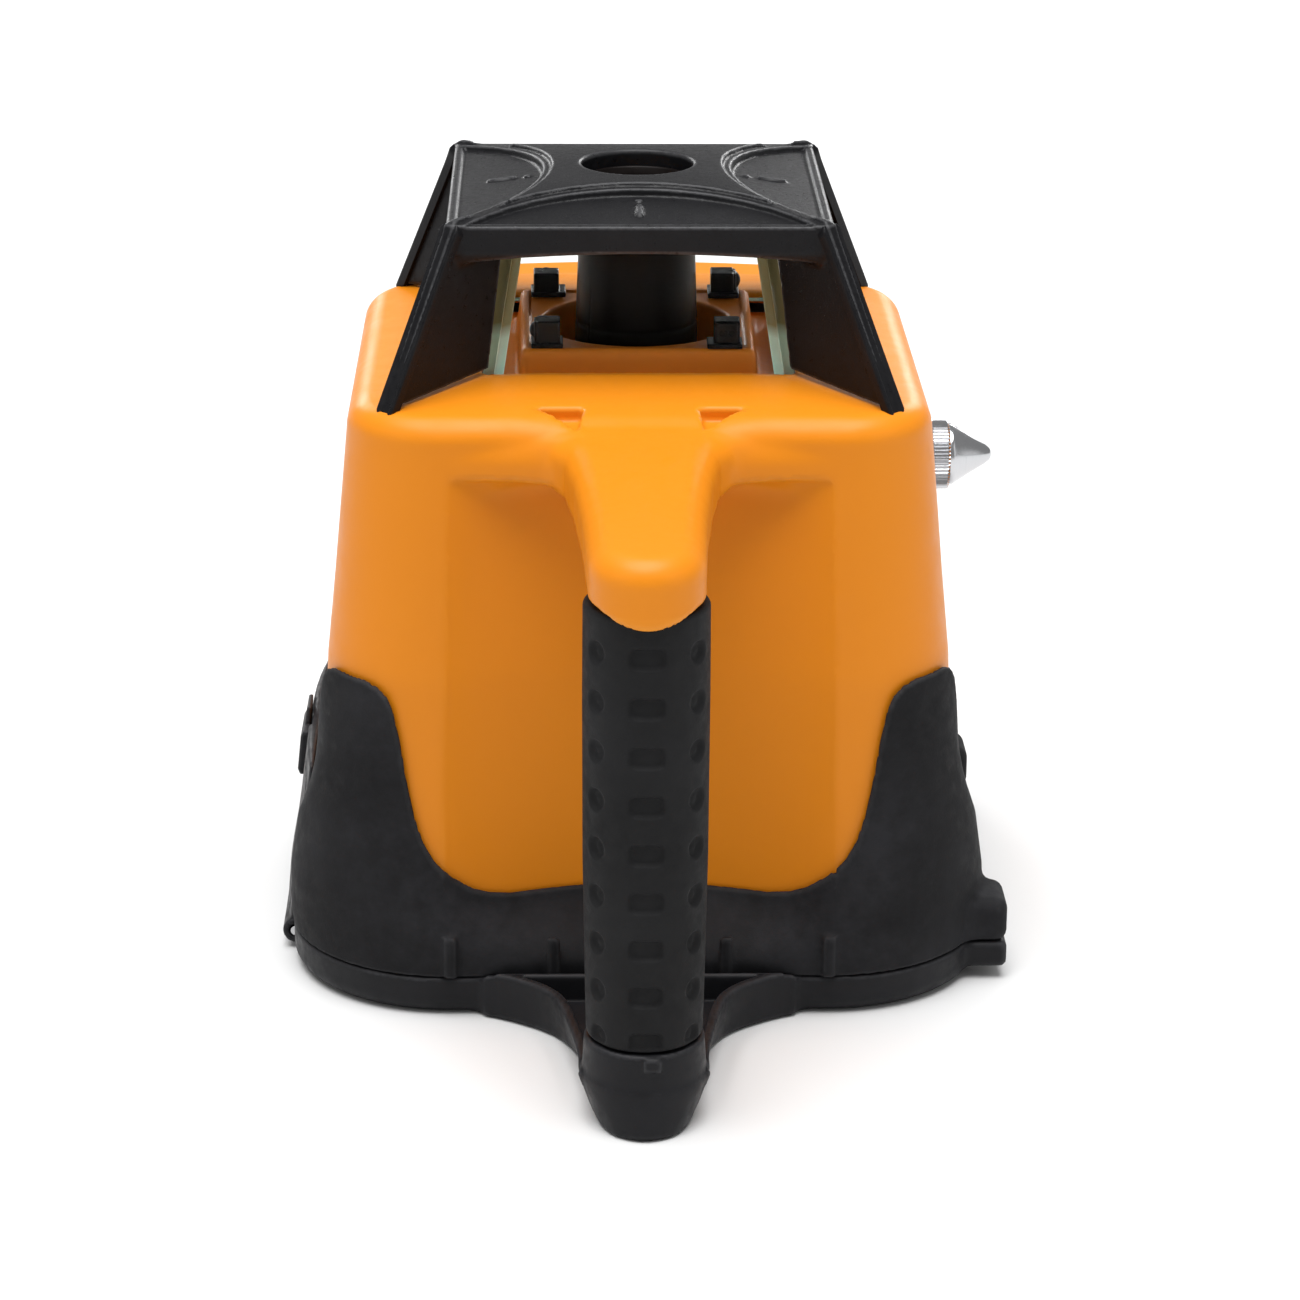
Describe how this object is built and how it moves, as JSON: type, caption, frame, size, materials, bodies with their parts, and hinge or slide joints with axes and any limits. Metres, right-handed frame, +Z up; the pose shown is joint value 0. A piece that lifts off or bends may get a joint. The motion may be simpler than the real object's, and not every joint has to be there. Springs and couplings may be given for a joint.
{
  "type": "rotating laser level",
  "caption": "Self-levelling rotating laser level: boxy housing with rubber boot, carrying handle, glazed rotor lantern under a four-post cage, tripod seat and side feet.",
  "frame": {"origin": "middle of the overall bounding box, on the surface the base stands on", "axes": "+Z up along the rotor axis, -Y towards the carrying handle, +Y towards the keypad, +X towards the side feet and the adjusting foot"},
  "size_m": [0.1738, 0.2224, 0.186],
  "materials": {
    "orange_abs": "fine moulded texture, satin",
    "black_rubber": "soft-touch rubber, dull",
    "black_abs": "moulded, satin",
    "cage_black": "fine-textured moulding, satin",
    "rotor_black": "smooth, glossy",
    "mint_glass": "polished plate glass, green edges",
    "clear_glass": "polished optical glass",
    "red_lens": "translucent, smooth",
    "steel": "turned or stamped steel",
    "chrome": "polished, with a knurled collar",
    "brass": "turned brass",
    "aluminium": "machined",
    "grey_plastic": "moulded nylon",
    "key_grey": "silicone rubber key",
    "cell_wrap": "printed-free sleeve over a steel can",
    "board_green": "solder mask",
    "vial_green": "clear tube with green liquid"
  },
  "bodies": {
    "body": {"housing": "orange_abs", "deck": "orange_abs", "rubber_boot": "black_rubber", "grip": "black_rubber", "base_cover": "black_abs", "cage": "cage_black", "handle_core": "black_abs", "battery_tray": "black_abs", "keypad_bezel": "black_abs", "exit_bezel": "rotor_black", "receiver_back_left": "rotor_black", "receiver_back_right": "rotor_black", "receiver_front_left": "rotor_black", "receiver_front_right": "rotor_black", "pane_back": "mint_glass", "pane_right": "mint_glass", "pane_front": "mint_glass", "pane_left": "mint_glass", "exit_window": "clear_glass", "lamp_strip": "red_lens", "handle_screw": "steel", "base_screw_back_left": "steel", "base_screw_back_right": "steel", "base_screw_front_left": "steel", "base_screw_front_right": "steel", "level_motor_x": "steel", "level_motor_y": "steel", "door_hinge_pin": "steel", "contact_bridge": "steel", "tripod_insert": "brass", "foot_insert": "brass", "chassis_plate": "aluminium", "cell_front": "cell_wrap", "cell_back": "cell_wrap", "main_board": "board_green"},
    "gimbal_ring": {"gimbal_ring": "aluminium"},
    "laser_carriage": {"laser_barrel": "aluminium", "laser_module": "brass", "collimating_lens": "clear_glass", "rotor_bearing": "steel", "level_vial_x": "vial_green", "level_vial_y": "vial_green", "rotor_motor": "steel", "drive_belt": "black_rubber"},
    "rotor": {"rotor_shaft": "steel", "rotor_head": "rotor_black", "pentaprism": "clear_glass"},
    "motor_pulley": {"motor_pulley": "brass"},
    "lead_screw_x": {"lead_screw_x": "steel"},
    "lead_screw_y": {"lead_screw_y": "steel"},
    "level_nut_x": {"level_nut_x": "brass"},
    "level_nut_y": {"level_nut_y": "brass"},
    "battery_door": {"battery_door": "black_abs"},
    "door_latch": {"door_latch": "black_abs"},
    "foot_washer": {"foot_washer": "grey_plastic"},
    "cone_foot": {"cone_foot": "chrome"},
    "button_power": {"button_power": "key_grey"},
    "button_slope": {"button_slope": "key_grey"},
    "button_speed": {"button_speed": "key_grey"},
    "button_tilt": {"button_tilt": "key_grey"}
  },
  "joints": [
    {"name": "tilt_x", "type": "hinge", "parent": "body", "child": "gimbal_ring", "pos_m": [-0.00112, 0.03321, 0.128], "axis": [1, 0, 0], "range_deg": [-5, 5]},
    {"name": "tilt_y", "type": "hinge", "parent": "gimbal_ring", "child": "laser_carriage", "pos_m": [-0.00112, 0.03321, 0.128], "axis": [0, 1, 0], "range_deg": [-5, 5]},
    {"name": "rotor_spin", "type": "hinge", "parent": "laser_carriage", "child": "rotor", "pos_m": [-0.00112, 0.03321, 0.14], "axis": [0, 0, 1], "continuous": true},
    {"name": "motor_pulley_spin", "type": "hinge", "parent": "laser_carriage", "child": "motor_pulley", "pos_m": [-0.00112, 0.01301, 0.13], "axis": [0, 0, 1], "continuous": true},
    {"name": "level_nut_x_slide", "type": "slide", "parent": "body", "child": "level_nut_x", "axis": [0, 0, 1], "range_m": [-0.0031, 0.0031]},
    {"name": "level_nut_y_slide", "type": "slide", "parent": "body", "child": "level_nut_y", "axis": [0, 0, 1], "range_m": [-0.0031, 0.0031]},
    {"name": "lead_screw_x_spin", "type": "hinge", "parent": "body", "child": "lead_screw_x", "pos_m": [0.03988, 0.03321, 0.1], "axis": [0, 0, 1], "range_deg": [-640, 640]},
    {"name": "lead_screw_y_spin", "type": "hinge", "parent": "body", "child": "lead_screw_y", "pos_m": [-0.00112, 0.07421, 0.1], "axis": [0, 0, 1], "range_deg": [-640, 640]},
    {"name": "battery_door_hinge", "type": "hinge", "parent": "body", "child": "battery_door", "pos_m": [-0.08372, 0.03321, 0.0045], "axis": [0, -1, 0], "range_deg": [0, 85]},
    {"name": "door_latch_slide", "type": "slide", "parent": "battery_door", "child": "door_latch", "axis": [-0.1309, 0, -0.9914], "range_m": [0, 0.003], "stiffness_N_per_m": 200, "springref_m": -0.002},
    {"name": "foot_travel", "type": "slide", "parent": "body", "child": "foot_washer", "axis": [1, 0, 0], "range_m": [0, 0.0031]},
    {"name": "foot_turn", "type": "hinge", "parent": "foot_washer", "child": "cone_foot", "pos_m": [0.07087, 0.03321, 0.1135], "axis": [1, 0, 0], "range_deg": [0, 1080]},
    {"name": "button_power_press", "type": "slide", "parent": "body", "child": "button_power", "axis": [0, -0.9963, -0.0854], "range_m": [0, 0.001], "stiffness_N_per_m": 100, "springref_m": -0.001},
    {"name": "button_slope_press", "type": "slide", "parent": "body", "child": "button_slope", "axis": [0, -0.9963, -0.0854], "range_m": [0, 0.001], "stiffness_N_per_m": 100, "springref_m": -0.001},
    {"name": "button_speed_press", "type": "slide", "parent": "body", "child": "button_speed", "axis": [0, -0.9963, -0.0854], "range_m": [0, 0.001], "stiffness_N_per_m": 100, "springref_m": -0.001},
    {"name": "button_tilt_press", "type": "slide", "parent": "body", "child": "button_tilt", "axis": [0, -0.9963, -0.0854], "range_m": [0, 0.001], "stiffness_N_per_m": 100, "springref_m": -0.001}
  ],
  "couplings": [
    {"joint": "motor_pulley_spin", "follows": "rotor_spin", "ratio": 3.4483},
    {"joint": "level_nut_x_slide", "follows": "tilt_y", "m_per_rad": -0.0344},
    {"joint": "level_nut_y_slide", "follows": "tilt_x", "m_per_rad": 0.0344},
    {"joint": "lead_screw_x_spin", "follows": "tilt_y", "ratio": 108.07},
    {"joint": "lead_screw_y_spin", "follows": "tilt_x", "ratio": -108.07},
    {"joint": "foot_travel", "follows": "foot_turn", "m_per_rad": 0.00015915}
  ]
}
